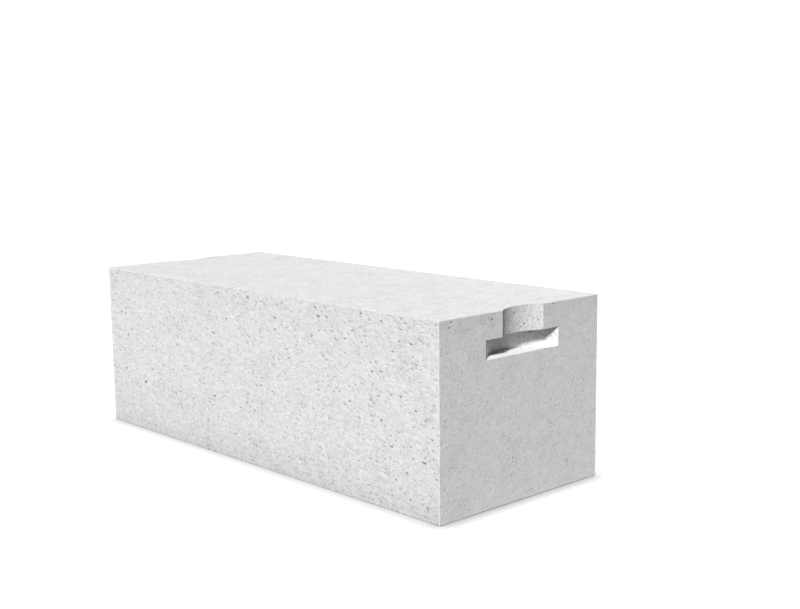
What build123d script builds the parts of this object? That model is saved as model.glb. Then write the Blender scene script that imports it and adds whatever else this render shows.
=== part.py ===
"""Aerated concrete building block, wire-cut to size, with a milled grip pocket in each end.

Millimetres, +Z up, +X along the length. The origin is the centre of the face that the block rests on.
"""

import os

from build123d import *

# The block as it is cut from the cake
LENGTH = 600.0
WIDTH = 240.0
HEIGHT = 200.0
ARRIS_RADIUS = 1.0  # the cut edges, slightly worn by handling

# The grip pocket, as its mouth measures on the end face
SLOT_WIDTH = 110.0
SLOT_HEIGHT = 20.0
SLOT_DEPTH = 25.0  # at the middle of the slot
LIP_HEIGHT = 27.0  # from the top face down to the slot's ceiling
NOTCH_DEPTH = 9.0  # of the knuckle notch that opens the lip to the top face

CUT_OVERRUN = 10.0  # how far the cutter stands above the top face

# The pocket's cutter: a disc that makes the slot, below a hub that makes the notch, on one upright spindle
SPINDLE_OFFSET = ((SLOT_WIDTH / 2) ** 2 - SLOT_DEPTH**2) / (2 * SLOT_DEPTH)  # outside the end face
DISC_RADIUS = SPINDLE_OFFSET + SLOT_DEPTH
HUB_RADIUS = SPINDLE_OFFSET + NOTCH_DEPTH
SLOT_CEILING = HEIGHT - LIP_HEIGHT
SLOT_FLOOR = SLOT_CEILING - SLOT_HEIGHT


def cut_block():
    """The plain block with its worn arrises, standing on z = 0."""
    block = Box(LENGTH, WIDTH, HEIGHT, align=(Align.CENTER, Align.CENTER, Align.MIN))
    return fillet(block.edges(), ARRIS_RADIUS)


def pocket_cutter():
    """The stepped cutter, its spindle on the Z axis, at its height in the block."""
    half_section = Polyline(
        (0, SLOT_FLOOR),
        (DISC_RADIUS, SLOT_FLOOR),
        (DISC_RADIUS, SLOT_CEILING),
        (HUB_RADIUS, SLOT_CEILING),
        (HUB_RADIUS, HEIGHT + CUT_OVERRUN),
        (0, HEIGHT + CUT_OVERRUN),
        close=True,
    )
    return revolve(Plane.XZ * make_face(half_section), axis=Axis.Z)


def grip_block():
    """The block with a pocket plunged into the middle of both ends."""
    block = cut_block()
    cutter = pocket_cutter()
    for end in (-1, 1):
        spindle_x = end * (LENGTH / 2 + SPINDLE_OFFSET)
        block -= Pos(spindle_x, 0, 0) * cutter
    return block


os.makedirs("parts", exist_ok=True)
export_step(grip_block().solid(), "parts/block.step")
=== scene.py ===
"""Looks of an aerated concrete block: its open pores, its concrete and the studio round it.

Metres in the row frame, apart from values whose names end in mm, and angles in degrees.
The pores are cut into a copy of the CAD mesh.
"""

import math
from collections import namedtuple

import bmesh
import bpy
import numpy as np
from mathutils import Matrix, Vector, noise
from mathutils.bvhtree import BVHTree


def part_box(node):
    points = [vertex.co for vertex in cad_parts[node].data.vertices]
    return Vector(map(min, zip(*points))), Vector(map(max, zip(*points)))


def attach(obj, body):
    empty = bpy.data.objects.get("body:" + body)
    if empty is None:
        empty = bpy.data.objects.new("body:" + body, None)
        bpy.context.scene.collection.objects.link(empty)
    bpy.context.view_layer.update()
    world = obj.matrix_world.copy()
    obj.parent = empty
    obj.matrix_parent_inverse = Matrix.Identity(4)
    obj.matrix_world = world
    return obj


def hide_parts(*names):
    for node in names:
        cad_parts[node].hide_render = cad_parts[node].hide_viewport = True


MM = 0.001  # in metres
DM2 = 0.01  # in square metres
X, Y, Z = range(3)
SEED = 20

# The photograph's camera, fitted to the block's corners
PHOTO_SIZE = (800, 609)
FOCAL_PIXELS = 1230.4
SENSOR_MM = 36.0
CLIP_START = 0.01
CAMERA_PLACE = (1.1034, -0.9208, 0.3928)
CAMERA_YAW = -46.905
CAMERA_PITCH = 8.856
CAMERA_ROLL = 0.562

# Studio light: a strong key, a soft fill from low on the camera's side, one from behind and an even room
KEY_FROM = (13.4, -19.2, 19.8)
KEY_STRENGTH = 4.48
KEY_ANGLE = 10.0
FILL_FROM = (0.73, -0.68, -0.45)
FILL_STRENGTH = 0.22
FILL_ANGLE = 40.0
BACK_FROM = (-0.57, 0.82, 0.05)
BACK_STRENGTH = 3.1
BACK_ANGLE = 20.0
AMBIENT = 0.03
WHITE = (1.0, 1.0, 1.0, 1.0)
BACKDROP_GLOW = 1.1

# A white floor that glows by itself, with a painted contact shadow: less where it meets the block and least
# at the end in view
FLOOR_SIZE = 40.0
FLOOR_DROP_MM = 0.1
FLOOR_COLOUR = (0.2, 0.2, 0.2, 1.0)
FLOOR_ROUGHNESS = 1.0
FLOOR_SPECULAR_LEVEL = 0.0
FLOOR_GLOW = 0.88
CONTACT_MM = 22.0
CONTACT_GLOW_SHARES = (0.57, 0.38)  # up to the end in view, and past it
CONTACT_TURN_MM = 15.0
CONTACT_OPEN_SHARES = (0.5, 1.0)

Surface = namedtuple("Surface", "per_dm2 radii_mm stretch grain tint foot_share head_share")


def grey(level):
    """A colour factor that is alike in red, green and blue."""
    return (level, level, level)


# Each kind of surface: how many pores are tried for on a square decimetre, their radii in mm, their length
# over their width, the strength of the pattern between them, a colour factor, and the shares of painted
# shade at its foot and its head. The colour factors paint light and shade: in the pocket a dark ceiling and
# a darker notch are painted shade and a paler floor is painted light, the arris is darker with painted
# shade so that it shows no highlight, and the end's faint warm darkening is painted light of that side.
SURFACES = {
    "long_side": Surface(125, (0.48, 1.6), (1.5, 2.8), 1.0, grey(1.0), 0.19, 0.04),
    "end": Surface(55, (0.45, 0.85), (1.0, 1.6), 0.7, (0.975, 0.955, 0.965), -0.03, 0.12),
    "bed": Surface(100, (0.45, 1.2), (1.3, 2.2), 0.75, grey(0.98), 0.0, 0.0),
    "slot": Surface(60, (0.45, 1.0), (1.0, 1.5), 1.1, grey(0.97), 0.0, 0.0),
    "slot_ceiling": Surface(60, (0.45, 1.0), (1.0, 1.5), 1.0, grey(0.25), 0.0, 0.0),
    "slot_floor": Surface(60, (0.45, 1.0), (1.0, 1.5), 0.6, grey(1.12), 0.0, 0.0),
    "notch": Surface(120, (0.45, 1.2), (1.0, 1.5), 1.0, grey(0.85), 0.0, 0.0),
    "arris": Surface(350, (0.45, 1.1), (1.0, 1.6), 0.8, grey(0.9), 0.0, 0.06),
}
# How fast the number of pores falls as they grow, and the range of their depth over their radius
PORE_FALL = 3.9
PORE_DEPTH_SHARES = (1.1, 1.9)
# Pores crowd and thin out in patches of this size: the chance that a try stays, and how far it swings
CROWD_MM = 38.0
CROWD_SHARES = (0.75, 0.8)
# Larger pits that the photograph shows, their places read off: across and down in its pixels, and
# the radius in mm with which they look alike
FRONT_PITS = (
    (335.5, 339.5, 1.7), (344.5, 339.0, 1.5), (361.0, 313.5, 1.4), (381.0, 321.5, 1.4), (405.0, 324.0, 1.5),
    (392.5, 352.0, 1.4), (428.5, 346.0, 1.4), (416.0, 365.0, 1.4), (420.5, 370.0, 1.1), (372.0, 372.0, 1.3),
    (380.5, 372.0, 1.8), (391.0, 395.5, 1.4), (400.5, 397.0, 1.7), (349.0, 401.5, 1.7), (425.0, 408.0, 1.4),
    (372.0, 421.0, 1.4), (381.0, 421.0, 1.7), (359.0, 434.0, 1.1), (391.5, 447.0, 1.3), (432.0, 440.5, 1.3),
    (413.5, 459.0, 1.3), (424.0, 463.5, 2.0), (406.5, 473.5, 1.6), (396.0, 480.0, 1.5), (436.5, 480.0, 1.4),
    (371.0, 493.0, 1.3), (379.0, 499.0, 1.3), (247.5, 297.5, 2.0), (256.5, 303.0, 1.8), (274.5, 318.0, 2.2),
    (275.0, 330.0, 2.0), (301.0, 303.0, 1.3), (315.0, 307.5, 2.0), (325.0, 307.0, 1.6), (318.0, 316.5, 2.1),
    (326.5, 317.5, 1.8), (240.5, 408.0, 1.8), (236.0, 434.0, 1.8), (254.0, 444.5, 1.9), (282.5, 462.0, 1.7),
    (121.5, 312.5, 2.1), (128.0, 300.0, 1.8), (164.0, 325.5, 2.1), (213.5, 333.0, 2.3), (213.5, 344.5, 2.1),
    (226.0, 319.0, 1.8), (217.0, 293.0, 1.8), (177.5, 345.0, 1.9), (142.5, 350.5, 2.1), (126.5, 368.5, 2.3),
    (164.0, 366.0, 1.9), (146.0, 382.0, 2.4), (214.5, 396.0, 2.1), (193.5, 399.0, 2.0), (182.5, 408.5, 1.8),
)
END_PITS = (
    (450.8, 322.8, 1.25), (449.0, 328.4, 1.25), (493.5, 314.5, 1.2), (492.0, 320.0, 1.4),
    (553.5, 304.0, 1.2), (560.5, 310.5, 1.0), (572.5, 298.5, 1.0),
    (448.0, 354.0, 1.1), (467.5, 331.0, 0.9), (480.5, 363.0, 0.9),
    (462.5, 372.5, 1.0), (463.0, 377.0, 1.0), (592.0, 357.0, 1.1), (589.5, 359.5, 1.0), (583.5, 391.5, 1.0),
    (471.0, 400.5, 1.0), (555.5, 406.0, 1.1), (551.5, 423.5, 1.1), (559.0, 434.0, 1.1), (504.5, 437.0, 1.2),
    (513.0, 458.5, 1.1), (512.5, 463.0, 1.0), (535.5, 461.0, 1.0), (532.5, 489.0, 1.1), (541.0, 473.0, 1.1),
)
POCKET_PITS = (
    (524.4, 323.8, 1.05), (528.0, 325.8, 0.85), (520.5, 326.8, 0.8), (533.8, 318.0, 0.85),
    (538.2, 319.5, 0.85), (508.5, 317.5, 0.75), (530.2, 331.8, 1.2),
)
# How a pore is drawn from a radius in mm up: its number of sides, and the shares of its depth and of its
# width at each ring below the rim
PORE_SHAPE_SHARES = (
    (1.05, 10, ((0.50, 0.88), (0.88, 0.52))),
    (0.70, 7, ((0.65, 0.76),)),
    (0.00, 5, ((0.55, 0.72),)),
)
# How far a pore's length is turned from level, and how much that varies
PORE_TILT = -15.0
PORE_TILT_SPREAD = 14.0
RIM_WOBBLE_SHARE = 0.18
# A cutter starts with a flared collar above the surface
CUTTER_LIFT_SHARE = 0.45
CUTTER_FLARE_SHARE = 1.12
# Pores keep this gap, and neighbours are looked up in cells of this size
PORE_GAP_MM = 0.25
SPACING_CELL_MM = 8.0
# A pore has room if a point above it is clear all round, where both shares are of the pore's reach
ROOM_LIFT_SHARE = 2.0
ROOM_CLEAR_SHARE = 1.9
# Points nearer than this are joined, and this area keeps a flat triangle from dividing by zero
WELD_MM = 0.005
TINY_AREA = 1e-12

# The concrete's colour in light, and the shares of it by which the pattern is darker or paler
CONCRETE_COLOUR = (0.791, 0.79, 0.79)
# Specks: round cells drawn out along the block and pushed uneven, a dark core of painted shade, a rim of
# painted highlight
PORE_STRETCH = (1.6, 1.0, 1.0)
FINE_STRETCH = (1.35, 1.0, 1.0)
WARP_SIZE_MM = 2.2
WARP_MM = 1.8
SPECK_EDGE_SHARES = (0.18, 0.40)
SPECK_FADE_POWER = 0.8
SPECK_CROWD_SHARES = (0.5, 1.6)
RIM_EDGE_SHARE = 0.62
RIM_HIGHLIGHT_SHARE = 0.06
COARSE_CELL_MM = 5.3
COARSE_SHADE_SHARE = 0.185
COARSE_RELIEF_MM = 0.25
FINE_CELL_MM = 3.2
FINE_SHADE_SHARE = 0.17
FINE_RELIEF_MM = 0.12
# Soft noise from fine grit to wide clouds, and faint streaks along the block
GRIT_MM = 1.8
GRIT_DARK_SHARE = 0.08
MOTTLE_MM = 4.4
MOTTLE_DARK_SHARE = 0.08
MOTTLE_RELIEF_MM = 0.07
BLOTCH_MM = 12.0
BLOTCH_DARK_SHARE = 0.035
CLOUD_DARK_SHARE = 0.05
DRAG_STRETCH = (30.0, 1.0, 1.0)
DRAG_MM = 3.0
DRAG_DARK_SHARE = 0.012
# The detail and the roughness of each noise, and the span that noise is spread out from
GRIT_NOISE = (1.0, 0.5)
MOTTLE_NOISE = (2.0, 0.55)
BLOTCH_NOISE = (2.0, 0.5)
CROWD_NOISE = (3.0, 0.6)
DRAG_NOISE = (2.0, 0.5)
WARP_DETAIL = 1.0
NOISE_SPAN = (0.2, 0.8)
# The painted shade at foot and head falls by this share over each of these lengths
FADE_SHARE = 0.5
FOOT_HALF_MM = 17.0
HEAD_HALF_MM = 14.0
# Painted shade in the pores: they darken with their depth, from a step at the rim on
RIM_STEP_MM = 0.6
PIT_DEPTHS_MM = (0.0, 1.6)
PIT_SHADE_DARKEST_SHARE = 0.58
ROUGHNESS = (0.98, 0.88)
SPECULAR_LEVEL = 0.2
BUMP_STRENGTH = 1.0

# The map's sheet, the clear band round each of its charts and the room for a chart of a pocket
SHEET_MM = 900.0
SHEET_GAP_MM = 4.0
POCKET_ROW_MM = 40.0

# The charts that the block's surface is divided into, with the axis that each is seen along
Side = namedtuple("Side", "name axis sign kind")
Chart = namedtuple("Chart", "name axis kind")
SIDES = (
    Side("end_left", X, -1, "end"),
    Side("end_right", X, 1, "end"),
    Side("front", Y, -1, "long_side"),
    Side("back", Y, 1, "long_side"),
    Side("bottom", Z, -1, "bed"),
    Side("top", Z, 1, "bed"),
)
POCKET_FACES = (
    ("slot_wall", X, "slot"),
    ("notch_wall", X, "notch"),
    ("slot_floor", Z, "slot_floor"),
    ("slot_ceiling", Z, "slot_ceiling"),
)
CHARTS = [Chart(side.name, side.axis, side.kind) for side in SIDES]
for end_name in ("left", "right"):
    CHARTS += [Chart(f"{face_name}_{end_name}", axis, kind) for face_name, axis, kind in POCKET_FACES]
CHART_NAMES = [chart.name for chart in CHARTS]
# The axes that run across and up a chart on the sheet, by the axis that the chart is seen along
SIDE_MAP_AXES = {X: (Z, Y), Y: (X, Z), Z: (X, Y)}
POCKET_MAP_AXES = {X: (Y, Z), Z: (Y, X)}
# A face belongs to a side if it lies this near to the side's plane and this share of its normal points out
SIDE_REACH_MM = 1.05
SIDE_SHARE = 0.6
# Less than this share of an arris's normal lies along any axis
ARRIS_SHARE = 0.97
# More than this share of a level face's normal lies along Z
LEVEL_SHARE = 0.9

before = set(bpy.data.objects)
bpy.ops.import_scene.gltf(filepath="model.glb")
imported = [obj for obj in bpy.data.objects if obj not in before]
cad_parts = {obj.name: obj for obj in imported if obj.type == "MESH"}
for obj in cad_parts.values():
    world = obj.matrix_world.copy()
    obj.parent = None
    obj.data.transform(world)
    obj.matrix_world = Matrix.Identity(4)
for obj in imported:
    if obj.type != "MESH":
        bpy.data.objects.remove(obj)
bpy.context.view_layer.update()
LOW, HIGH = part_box("block")

Pore = namedtuple("Pore", "place normal tangent radius stretch depth chart")


def read(items, field, width=1, kind=float):
    """One field of all the given items of a mesh, as an array with so many values for each item."""
    values = np.empty(len(items) * width, kind)
    items.foreach_get(field, values)
    return values.reshape(-1, width) if width > 1 else values


def weld(mesh):
    """Joins points that nearly meet."""
    work = bmesh.new()
    work.from_mesh(mesh)
    bmesh.ops.remove_doubles(work, verts=work.verts, dist=WELD_MM * MM)
    work.to_mesh(mesh)
    work.free()


def cad_copy():
    """The block's CAD mesh as one closed triangle mesh of its own."""
    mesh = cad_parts["block"].data.copy()
    mesh.name = "concrete_block"
    weld(mesh)
    mesh.materials.clear()
    while mesh.uv_layers:
        mesh.uv_layers.remove(mesh.uv_layers[0])
    return mesh


def surface_tree(mesh):
    """The mesh in a form that can be asked what is nearest and what a ray meets."""
    return BVHTree.FromPolygons([v.co for v in mesh.vertices], [tuple(p.vertices) for p in mesh.polygons])


def distance_to(tree, place):
    """How far a place is from the surface."""
    *_, distance = tree.find_nearest(place)
    return distance


def slot_ceiling_height(mesh):
    """The height of the only faces that look down from inside the block."""
    above_bed = LOW.z + SIDE_REACH_MM * MM
    inner = [p.center.z for p in mesh.polygons if p.normal.z < -LEVEL_SHARE and p.center.z > above_bed]
    return sum(inner) / len(inner)


def chart_of(centre, normal, ceiling):
    """The number of the chart that a face of the CAD mesh belongs to."""
    best, best_share = None, SIDE_SHARE
    for number, side in enumerate(SIDES):
        plane = HIGH[side.axis] if side.sign > 0 else LOW[side.axis]
        share = side.sign * normal[side.axis]
        if abs(centre[side.axis] - plane) < SIDE_REACH_MM * MM and share > best_share:
            best, best_share = number, share
    if best is not None:
        return best
    if normal.z > LEVEL_SHARE:
        face_name = "slot_floor"
    elif normal.z < -LEVEL_SHARE:
        face_name = "slot_ceiling"
    elif centre.z < ceiling:
        face_name = "slot_wall"
    else:
        face_name = "notch_wall"
    end_name = "right" if centre.x > 0 else "left"
    return CHART_NAMES.index(f"{face_name}_{end_name}")


def surface_triangles(mesh):
    """Corners, normals and areas of the triangles."""
    places = read(mesh.vertices, "co", 3)
    triangles = places[read(mesh.polygons, "vertices", 3, int)]
    across = np.cross(triangles[:, 1] - triangles[:, 0], triangles[:, 2] - triangles[:, 0])
    areas = np.linalg.norm(across, axis=1) / 2
    return triangles, across / (2 * areas[:, None] + TINY_AREA), areas


class Spacing:
    """Keeps the pores apart, so that no two cutters meet."""

    def __init__(self):
        self.cells = {}

    def key(self, place):
        """The cell that a place lies in."""
        return tuple(int(math.floor(c / (SPACING_CELL_MM * MM))) for c in place)

    def near(self, place):
        """The pores in the cell of a place and in the cells round it."""
        x, y, z = self.key(place)
        for i in (x - 1, x, x + 1):
            for j in (y - 1, y, y + 1):
                for k in (z - 1, z, z + 1):
                    yield from self.cells.get((i, j, k), ())

    def is_free(self, place, chart, reach, depth):
        """Whether a pore clears those in place, round an edge by its depth too."""
        for other, other_chart, other_reach, other_depth in self.near(place):
            need = reach + other_reach
            if chart != other_chart:
                need = max(reach, depth) + max(other_reach, other_depth)
            if (place - other).length < need + PORE_GAP_MM * MM:
                return False
        return True

    def add(self, place, chart, reach, depth):
        """Keeps a pore in its cell."""
        self.cells.setdefault(self.key(place), []).append((place, chart, reach, depth))


def level_tangent(normal):
    """The direction along the surface that lies level, or along the length on a level surface."""
    if abs(normal.z) > LEVEL_SHARE:
        return Vector((1, 0, 0))
    return Vector((0, 0, 1)).cross(normal).normalized()


def pore_radius(radii_mm, random):
    """A radius from the range, where small ones are by far the most common."""
    smallest, largest = radii_mm
    share = random.random() * (1 - (smallest / largest) ** PORE_FALL)
    return smallest * (1 - share) ** (-1 / PORE_FALL) * MM


def random_place(triangle, random):
    """A place anywhere on a triangle, with even chances."""
    first, second = random.random(2)
    if first + second > 1:
        first, second = 1 - first, 1 - second
    return Vector(triangle[0] + first * (triangle[1] - triangle[0]) + second * (triangle[2] - triangle[0]))


def pore_tries(mesh, charts, random):
    """Places to try for pores, largest first: radius, kind of surface, chart, place and normal."""
    triangles, normals, areas = surface_triangles(mesh)
    charts = np.array(charts)
    on_arris = (np.abs(normals).max(axis=1) < ARRIS_SHARE) & (charts < len(SIDES))
    groups = []
    for number, chart in enumerate(CHARTS):
        groups.append((chart.kind, np.flatnonzero((charts == number) & ~on_arris)))
    groups.append(("arris", np.flatnonzero(on_arris)))
    tries = []
    for kind, members in groups:
        surface = SURFACES[kind]
        area = areas[members].sum()
        wanted = int(round(area / DM2 * surface.per_dm2))
        for pick in random.choice(members, size=wanted, p=areas[members] / area):
            radius = pore_radius(surface.radii_mm, random)
            place = random_place(triangles[pick], random)
            crowd = noise.noise(place / (CROWD_MM * MM))
            middle, spread = CROWD_SHARES
            if random.random() < middle + spread * crowd:
                tries.append((radius, kind, int(charts[pick]), place, Vector(normals[pick])))
    return sorted(tries, key=lambda one: -one[0])


def seen_pits(tree, charts):
    """Pits that the photograph shows, set where the camera's rays meet the block, in the form of tries."""
    right, up, forward = camera_axes()
    across_middle, down_middle = (pixels / 2 for pixels in PHOTO_SIZE)
    for across, down, radius in FRONT_PITS + END_PITS + POCKET_PITS:
        ray = forward * FOCAL_PIXELS + right * (across - across_middle) - up * (down - down_middle)
        place, normal, face, _ = tree.ray_cast(Vector(CAMERA_PLACE), ray)
        yield radius * MM, CHARTS[charts[face]].kind, charts[face], place, normal


def scatter_pores(mesh, charts, tree, random):
    """Chooses the pores: where each of them is, how large, how deep and which way it lies."""
    spacing = Spacing()
    pores = []
    for radius, kind, chart, place, normal in [*seen_pits(tree, charts), *pore_tries(mesh, charts, random)]:
        stretch = random.uniform(*SURFACES[kind].stretch)
        tilt = math.radians(random.normal(PORE_TILT, PORE_TILT_SPREAD))
        depth = radius * random.uniform(*PORE_DEPTH_SHARES)
        reach = radius * math.sqrt(stretch) * (1 + RIM_WOBBLE_SHARE) * CUTTER_FLARE_SHARE
        has_room = distance_to(tree, place + normal * ROOM_LIFT_SHARE * reach) > ROOM_CLEAR_SHARE * reach
        if has_room and spacing.is_free(place, chart, reach, depth):
            spacing.add(place, chart, reach, depth)
            tangent = Matrix.Rotation(tilt, 3, normal) @ level_tangent(normal)
            pores.append(Pore(place, normal, tangent, radius, stretch, depth, chart))
    return pores


def pore_cutter(pore, random):
    """Points and faces of one cutter: a wobbly bowl under the surface with a flared collar above it."""
    sides, rings = next((s, r) for smallest, s, r in PORE_SHAPE_SHARES if pore.radius >= smallest * MM)
    across = pore.normal.cross(pore.tangent)
    long = pore.radius * math.sqrt(pore.stretch)
    short = pore.radius / math.sqrt(pore.stretch)
    turn = random.uniform(0, 2 * math.pi)
    wobble = 1 + RIM_WOBBLE_SHARE * random.uniform(-1, 1, sides)
    rim = []
    for number in range(sides):
        angle = turn + 2 * math.pi * number / sides
        spoke = pore.tangent * math.cos(angle) * long + across * math.sin(angle) * short
        rim.append(spoke * wobble[number])
    levels = [(-CUTTER_LIFT_SHARE * pore.radius, CUTTER_FLARE_SHARE)]
    levels += [(share * pore.depth, scale) for share, scale in rings]
    points = []
    for level, scale in levels:
        points += [pore.place - pore.normal * level + spoke * scale for spoke in rim]
    points.append(pore.place - pore.normal * pore.depth)
    faces = [tuple(range(sides))]
    for ring in range(len(levels) - 1):
        upper = ring * sides
        lower = upper + sides
        for number in range(sides):
            after = (number + 1) % sides
            faces.append((upper + after, upper + number, lower + number, lower + after))
    last = (len(levels) - 1) * sides
    faces += [(last + (n + 1) % sides, last + n, len(points) - 1) for n in range(sides)]
    return points, faces


def cutters_object(pores, random):
    """All cutters in one object, with each face numbered past the charts of the plain surface."""
    points, faces, numbers = [], [], []
    for pore in pores:
        pore_points, pore_faces = pore_cutter(pore, random)
        start = len(points)
        points += pore_points
        faces += [tuple(start + corner for corner in face) for face in pore_faces]
        numbers += [len(CHARTS) + pore.chart] * len(pore_faces)
    mesh = bpy.data.meshes.new("pore_cutters")
    mesh.from_pydata(points, [], faces)
    cutters = bpy.data.objects.new("pore_cutters", mesh)
    bpy.context.scene.collection.objects.link(cutters)
    number_faces(mesh, numbers)
    return cutters


def number_faces(mesh, numbers):
    """Keeps a number on each face in its material index, which survives a boolean.

    The first numbers are the charts of the plain surface, and those after them are the pores in each chart.
    """
    for _ in CHARTS + CHARTS:
        mesh.materials.append(None)
    mesh.polygons.foreach_set("material_index", np.array(numbers, np.int32))


def cut_pores(block, cutters):
    """Takes the cutters out of the block's mesh."""
    cut = block.modifiers.new("pores", "BOOLEAN")
    cut.operation = "DIFFERENCE"
    cut.solver = "MANIFOLD"
    cut.material_mode = "INDEX"
    cut.object = cutters
    graph = bpy.context.evaluated_depsgraph_get()
    mesh = bpy.data.meshes.new_from_object(block.evaluated_get(graph))
    weld(mesh)
    block.modifiers.clear()
    block.data = mesh
    bpy.data.objects.remove(cutters)
    return mesh


def shade_block(mesh, numbers):
    """Flat cut faces, smooth pores."""
    mesh.polygons.foreach_set("use_smooth", numbers >= len(CHARTS))
    mesh.update()


def chart_starts():
    """Where each chart lies on the sheet, in mm: the long sides below each other, the rest beside them."""
    length, width, height = ((HIGH[axis] - LOW[axis]) / MM for axis in range(3))
    starts = {}
    row = SHEET_GAP_MM
    for name, step in (("top", width), ("bottom", width), ("front", height), ("back", height)):
        starts[name] = (SHEET_GAP_MM, row)
        row += step + SHEET_GAP_MM
    column = length + 2 * SHEET_GAP_MM
    row = SHEET_GAP_MM
    for name in ("end_left", "end_right"):
        starts[name] = (column, row)
        row += width + SHEET_GAP_MM
    for chart in CHARTS[len(SIDES):]:
        starts[chart.name] = (column, row)
        row += POCKET_ROW_MM
    return starts


def lay_map(mesh, numbers):
    """A map of flat charts: every side and pocket face seen straight on, side by side on one sheet."""
    places = (read(mesh.vertices, "co", 3) - np.array(LOW)) / MM
    corners = places[read(mesh.loops, "vertex_index", kind=int)]
    charts = np.repeat(numbers % len(CHARTS), read(mesh.polygons, "loop_total", kind=int))
    starts = chart_starts()
    spots = np.zeros((len(corners), 2))
    for number, chart in enumerate(CHARTS):
        mine = charts == number
        if number < len(SIDES):
            flat = corners[mine][:, SIDE_MAP_AXES[chart.axis]]
        else:
            flat = corners[mine][:, POCKET_MAP_AXES[chart.axis]]
            flat = flat - flat.min(axis=0)
        spots[mine] = flat + np.array(starts[chart.name])
    layer = mesh.uv_layers.new(name="OFBake")
    layer.data.foreach_set("uv", (spots / SHEET_MM).astype(np.float32).ravel())


def mark_depths(mesh, numbers, tree):
    """Keeps on each corner how deep it lies in its pore, in mm, with a step down at the pore's rim, for the
    painted shade in the pores.
    """
    depths = np.array([distance_to(tree, vertex.co) / MM for vertex in mesh.vertices])
    corner_depths = depths[read(mesh.loops, "vertex_index", kind=int)]
    in_pore = np.repeat(numbers >= len(CHARTS), read(mesh.polygons, "loop_total", kind=int))
    stepped = np.where(in_pore, corner_depths + RIM_STEP_MM, 0.0)
    attribute = mesh.attributes.new("pore_depth", "FLOAT", "CORNER")
    attribute.data.foreach_set("value", stepped.astype(np.float32))


def mark_surface(mesh, numbers, field):
    """Keeps on each face a value or a colour factor of its kind of surface, under the field's name; some
    carry painted light or shade.
    """
    by_chart = np.array([getattr(SURFACES[chart.kind], field) for chart in CHARTS], np.float32)
    values = by_chart[numbers % len(CHARTS)]
    normals = read(mesh.polygons, "normal", 3, np.float32)
    on_arris = (np.abs(normals).max(axis=1) < ARRIS_SHARE) & (numbers < len(SIDES))
    values[on_arris] = getattr(SURFACES["arris"], field)
    if values.ndim == 1:
        attribute = mesh.attributes.new(field, "FLOAT", "FACE")
        attribute.data.foreach_set("value", values)
    else:
        attribute = mesh.attributes.new(field, "FLOAT_VECTOR", "FACE")
        attribute.data.foreach_set("vector", values.ravel())


def make_block():
    """The block with its open pores, in place of the smooth CAD node."""
    random = np.random.default_rng(SEED)
    mesh = cad_copy()
    ceiling = slot_ceiling_height(mesh)
    charts = [chart_of(p.center, p.normal, ceiling) for p in mesh.polygons]
    tree = surface_tree(mesh)
    pores = scatter_pores(mesh, charts, tree, random)
    number_faces(mesh, charts)
    block = bpy.data.objects.new("concrete_block", mesh)
    bpy.context.scene.collection.objects.link(block)
    mesh = cut_pores(block, cutters_object(pores, random))
    numbers = read(mesh.polygons, "material_index", kind=np.int32)
    shade_block(mesh, numbers)
    lay_map(mesh, numbers)
    mark_depths(mesh, numbers, tree)
    # Colour factors that carry painted light and shade, and the shares of painted shade at foot and head
    for field in ("grain", "tint", "foot_share", "head_share"):
        mark_surface(mesh, numbers, field)
    mesh.materials.clear()
    mesh.polygons.foreach_set("material_index", np.zeros(len(mesh.polygons), np.int32))
    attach(block, "root")
    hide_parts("block")
    return block


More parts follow.
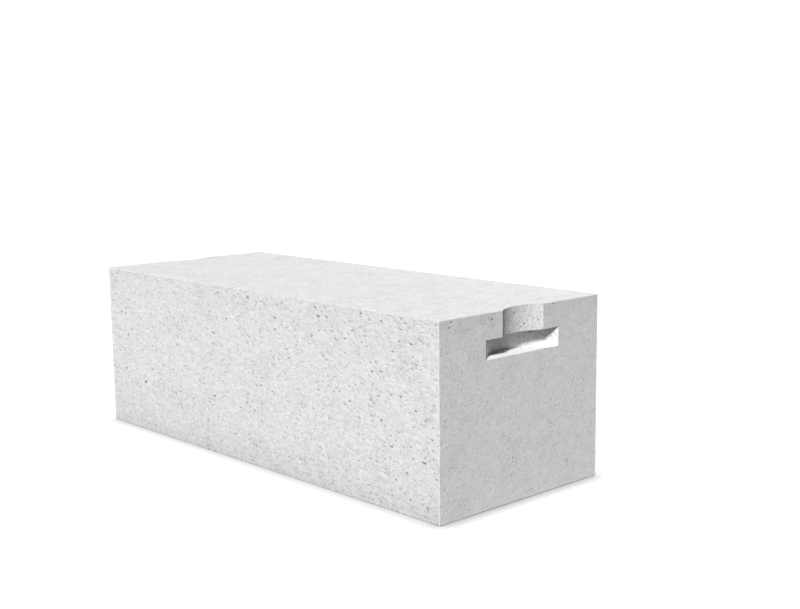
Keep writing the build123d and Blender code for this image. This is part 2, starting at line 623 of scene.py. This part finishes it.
class Shading:
    """A material's node tree, built up from a few kinds of node."""

    def __init__(self, name):
        self.material = bpy.data.materials.new(name)
        self.material.use_nodes = True
        self.tree = self.material.node_tree
        self.shader = self.tree.nodes["Principled BSDF"]

    def connect(self, node, inputs):
        """Gives a node its inputs, each of them a plain value or another node's output."""
        for key, value in inputs.items():
            if isinstance(value, bpy.types.NodeSocket):
                self.tree.links.new(value, node.inputs[key])
            else:
                node.inputs[key].default_value = value

    def node(self, kind, inputs, **settings):
        """A new node with its inputs and settings."""
        made = self.tree.nodes.new(kind)
        for name, value in settings.items():
            setattr(made, name, value)
        self.connect(made, inputs)
        return made

    def math(self, operation, first, second):
        """What an operation makes of two values."""
        return self.node("ShaderNodeMath", {0: first, 1: second}, operation=operation).outputs[0]

    def add(self, *terms):
        """All terms added up."""
        total = terms[0]
        for term in terms[1:]:
            total = self.math("ADD", total, term)
        return total

    def times(self, *factors):
        """All factors multiplied."""
        product = factors[0]
        for factor in factors[1:]:
            product = self.math("MULTIPLY", product, factor)
        return product

    def multiply(self, colour, factor):
        """A colour times another colour or a value."""
        inputs = {0: colour, 1: factor}
        return self.node("ShaderNodeVectorMath", inputs, operation="MULTIPLY").outputs["Vector"]

    def ramp(self, value, low, high, to_low, to_high, course="SMOOTHSTEP"):
        """A smooth step from one value to another, or a straight one."""
        inputs = {"Value": value, "From Min": low, "From Max": high, "To Min": to_low, "To Max": to_high}
        return self.node("ShaderNodeMapRange", inputs, interpolation_type=course).outputs["Result"]

    def fade(self, distance, half_mm):
        """From 1 at the edge down to a half, a quarter and so on with every step of the given length."""
        return self.math("POWER", FADE_SHARE, self.times(distance, 1 / half_mm))

    def attribute(self, name, output="Fac"):
        """What the mesh keeps under a name."""
        return self.node("ShaderNodeAttribute", {}, attribute_name=name).outputs[output]

    def millimetres(self, stretch=(1.0, 1.0, 1.0), turn=0.0):
        """Places on the block in mm, turned about the width and drawn out by the stretch."""
        place = self.node("ShaderNodeTexCoord", {}).outputs["Object"]
        scale = tuple(1 / (MM * s) for s in stretch)
        inputs = {"Vector": place, "Rotation": (0.0, math.radians(turn), 0.0), "Scale": scale}
        return self.node("ShaderNodeMapping", inputs, vector_type="POINT").outputs["Vector"]

    def warped(self, place, size_mm, reach_mm):
        """The same places, pushed about at random so that round forms turn uneven."""
        inputs = {"Vector": place, "Scale": 1 / size_mm, "Detail": WARP_DETAIL}
        push = self.node("ShaderNodeTexNoise", inputs).outputs["Color"]
        inputs = {0: push, 1: (reach_mm, reach_mm, reach_mm), 2: place}
        return self.node("ShaderNodeVectorMath", inputs, operation="MULTIPLY_ADD").outputs["Vector"]

    def noise(self, place, size_mm, detail, roughness):
        """Soft noise from -1 to 1, with lumps of about the given size."""
        inputs = {"Vector": place, "Scale": 1 / size_mm, "Detail": detail, "Roughness": roughness}
        value = self.node("ShaderNodeTexNoise", inputs).outputs["Fac"]
        return self.ramp(value, *NOISE_SPAN, -1.0, 1.0)

    def specks(self, place, cell_mm):
        """Round pores cut through at random heights: how much painted shade darkens each, and the rim of
        painted highlight round it.
        """
        cells = self.node("ShaderNodeTexVoronoi", {"Vector": place, "Scale": 1 / cell_mm})
        distance = cells.outputs["Distance"]
        core, edge = SPECK_EDGE_SHARES
        disc = self.ramp(distance, core, edge, 1.0, 0.0)
        past_core = self.ramp(distance, core, edge, 0.0, 1.0)
        within_rim = self.ramp(distance, edge, RIM_EDGE_SHARE, 1.0, 0.0)
        rim = self.times(past_core, within_rim)
        chance = self.node("ShaderNodeSeparateColor", {"Color": cells.outputs["Color"]}).outputs["Red"]
        strength = self.math("POWER", chance, SPECK_FADE_POWER)
        return self.times(disc, strength), self.times(rim, strength)


def make_concrete():
    """White aerated concrete: fine pores that crowd and thin out, soft mottling, and pits that painted
    shade deepens.
    """
    concrete = Shading("aerated_concrete")
    even = concrete.millimetres()
    drawn_out = concrete.millimetres(PORE_STRETCH, PORE_TILT)
    fine_drawn_out = concrete.millimetres(FINE_STRETCH)
    grain = concrete.attribute("grain")
    crowd = concrete.noise(even, CROWD_MM, *CROWD_NOISE)
    mottle = concrete.noise(fine_drawn_out, MOTTLE_MM, *MOTTLE_NOISE)
    grit = concrete.noise(even, GRIT_MM, *GRIT_NOISE)
    blotch = concrete.noise(even, BLOTCH_MM, *BLOTCH_NOISE)
    drag = concrete.noise(concrete.millimetres(DRAG_STRETCH), DRAG_MM, *DRAG_NOISE)
    uneven = concrete.warped(drawn_out, WARP_SIZE_MM, WARP_MM)
    coarse, coarse_rim = concrete.specks(uneven, COARSE_CELL_MM)
    fine_uneven = concrete.warped(fine_drawn_out, WARP_SIZE_MM, WARP_MM)
    fine, fine_rim = concrete.specks(fine_uneven, FINE_CELL_MM)

    # Painted shade in the specks' cores, and a painted highlight on their rims
    pore_shade = concrete.add(concrete.times(coarse, -COARSE_SHADE_SHARE), concrete.times(fine, -FINE_SHADE_SHARE))
    rim_highlight = concrete.times(concrete.add(coarse_rim, fine_rim), RIM_HIGHLIGHT_SHARE)
    crowded = concrete.ramp(crowd, -1.0, 1.0, *SPECK_CROWD_SHARES)
    pattern = concrete.add(
        concrete.times(pore_shade, crowded),
        rim_highlight,
        concrete.times(mottle, MOTTLE_DARK_SHARE),
        concrete.times(grit, GRIT_DARK_SHARE),
    )
    # Painted shade, darker towards the block's foot and head by each kind's shares
    level = concrete.node("ShaderNodeSeparateXYZ", {"Vector": even}).outputs["Z"]
    below_top = concrete.math("SUBTRACT", HIGH.z / MM, level)
    foot_shade = concrete.times(concrete.attribute("foot_share"), concrete.fade(level, FOOT_HALF_MM))
    head_shade = concrete.times(concrete.attribute("head_share"), concrete.fade(below_top, HEAD_HALF_MM))
    shade = concrete.add(
        concrete.times(pattern, grain),
        concrete.times(concrete.ramp(crowd, 0.0, 1.0, 0.0, 1.0), -CLOUD_DARK_SHARE),
        concrete.times(blotch, BLOTCH_DARK_SHARE),
        concrete.times(drag, DRAG_DARK_SHARE),
        concrete.times(concrete.add(foot_shade, head_shade), -1.0),
        1.0,
    )
    # Painted shade in the pores, deeper with their depth
    painted_pit_shade = concrete.ramp(concrete.attribute("pore_depth"), *PIT_DEPTHS_MM, 1.0, PIT_SHADE_DARKEST_SHARE)
    # Each kind's colour factor, with the painted light and shade of the pocket, the arris and the end
    colour_and_painted_light = concrete.multiply(concrete.attribute("tint", "Vector"), CONCRETE_COLOUR)

    height = concrete.add(
        concrete.times(mottle, MOTTLE_RELIEF_MM),
        concrete.times(coarse, -COARSE_RELIEF_MM),
        concrete.times(fine, -FINE_RELIEF_MM),
    )
    relief = {"Strength": BUMP_STRENGTH, "Distance": MM, "Height": concrete.times(height, grain, grain)}
    inputs = {
        "Base Color": concrete.multiply(colour_and_painted_light, concrete.times(shade, painted_pit_shade)),
        "Roughness": concrete.ramp(mottle, -1.0, 1.0, *ROUGHNESS),
        "Specular IOR Level": SPECULAR_LEVEL,
        "Normal": concrete.node("ShaderNodeBump", relief).outputs["Normal"],
    }
    concrete.connect(concrete.shader, inputs)
    return concrete.material


def make_floor_white():
    """White that glows by itself, and less in the corner where the block stands: a painted contact shadow.
    """
    white = Shading("floor_white")
    place = white.node("ShaderNodeTexCoord", {}).outputs["Object"]
    along = white.node("ShaderNodeSeparateXYZ", {"Vector": place}).outputs["X"]
    turn_start = HIGH.x - CONTACT_TURN_MM * MM
    side_glow, end_glow = (FLOOR_GLOW * share for share in CONTACT_GLOW_SHARES)
    contact_glow = white.ramp(along, turn_start, HIGH.x, side_glow, end_glow, "LINEAR")
    # A painted contact shadow: the floor glows less where the block closes it in, and more so past the end
    openness = white.node("ShaderNodeAmbientOcclusion", {"Distance": CONTACT_MM * MM}).outputs["AO"]
    inputs = {
        "Base Color": FLOOR_COLOUR,
        "Roughness": FLOOR_ROUGHNESS,
        "Specular IOR Level": FLOOR_SPECULAR_LEVEL,
        "Emission Color": WHITE,
        "Emission Strength": white.ramp(openness, *CONTACT_OPEN_SHARES, contact_glow, FLOOR_GLOW, "LINEAR"),
    }
    white.connect(white.shader, inputs)
    return white.material


def make_floor():
    """A white floor that runs out of sight."""
    half = FLOOR_SIZE / 2
    mesh = bpy.data.meshes.new("floor")
    corners = [(-half, -half, 0), (half, -half, 0), (half, half, 0), (-half, half, 0)]
    mesh.from_pydata(corners, [], [(0, 1, 2, 3)])
    mesh.materials.append(make_floor_white())
    floor = bpy.data.objects.new("floor", mesh)
    floor.location.z = LOW.z - FLOOR_DROP_MM * MM
    floor.visible_diffuse = False
    floor.visible_shadow = False
    bpy.context.scene.collection.objects.link(floor)


def make_sun(name, towards, strength, angle):
    """A far light that shines from the given direction."""
    light = bpy.data.lights.new(name, "SUN")
    light.energy = strength
    light.angle = math.radians(angle)
    lamp = bpy.data.objects.new(name, light)
    lamp.rotation_euler = Vector(towards).to_track_quat("Z", "Y").to_euler()
    bpy.context.scene.collection.objects.link(lamp)


def make_world():
    """Even grey light from all round, before a white backdrop."""
    world = bpy.data.worlds.new("studio")
    world.use_nodes = True
    tree = world.node_tree
    light = tree.nodes["Background"]
    light.inputs["Color"].default_value = WHITE
    light.inputs["Strength"].default_value = AMBIENT
    backdrop = tree.nodes.new("ShaderNodeBackground")
    backdrop.inputs["Color"].default_value = WHITE
    backdrop.inputs["Strength"].default_value = BACKDROP_GLOW
    path = tree.nodes.new("ShaderNodeLightPath")
    mix = tree.nodes.new("ShaderNodeMixShader")
    tree.links.new(path.outputs["Is Camera Ray"], mix.inputs[0])
    tree.links.new(light.outputs[0], mix.inputs[1])
    tree.links.new(backdrop.outputs[0], mix.inputs[2])
    tree.links.new(mix.outputs[0], tree.nodes["World Output"].inputs["Surface"])
    bpy.context.scene.world = world


def camera_axes():
    """The directions right, up and forward of the photograph's camera."""
    yaw, pitch, roll = (math.radians(a) for a in (CAMERA_YAW, CAMERA_PITCH, CAMERA_ROLL))
    forward = Vector((math.sin(yaw) * math.cos(pitch), math.cos(yaw) * math.cos(pitch), -math.sin(pitch)))
    level = Vector((math.cos(yaw), -math.sin(yaw), 0))
    down = forward.cross(level)
    right = math.cos(roll) * level + math.sin(roll) * down
    return right, -forward.cross(right), forward


def make_camera():
    """The photograph's camera."""
    right, up, forward = camera_axes()
    data = bpy.data.cameras.new("camera")
    data.sensor_width = SENSOR_MM
    data.lens = SENSOR_MM * FOCAL_PIXELS / PHOTO_SIZE[0]
    data.clip_start = CLIP_START
    camera = bpy.data.objects.new("camera", data)
    turn = Matrix((right, up, -forward)).transposed().to_4x4()
    camera.matrix_world = Matrix.Translation(CAMERA_PLACE) @ turn
    bpy.context.scene.collection.objects.link(camera)
    bpy.context.scene.camera = camera


block = make_block()
block.data.materials.append(make_concrete())
make_floor()
make_sun("key", KEY_FROM, KEY_STRENGTH, KEY_ANGLE)
make_sun("fill", FILL_FROM, FILL_STRENGTH, FILL_ANGLE)
make_sun("back", BACK_FROM, BACK_STRENGTH, BACK_ANGLE)
make_world()
make_camera()
bpy.context.scene.view_settings.view_transform = "Standard"
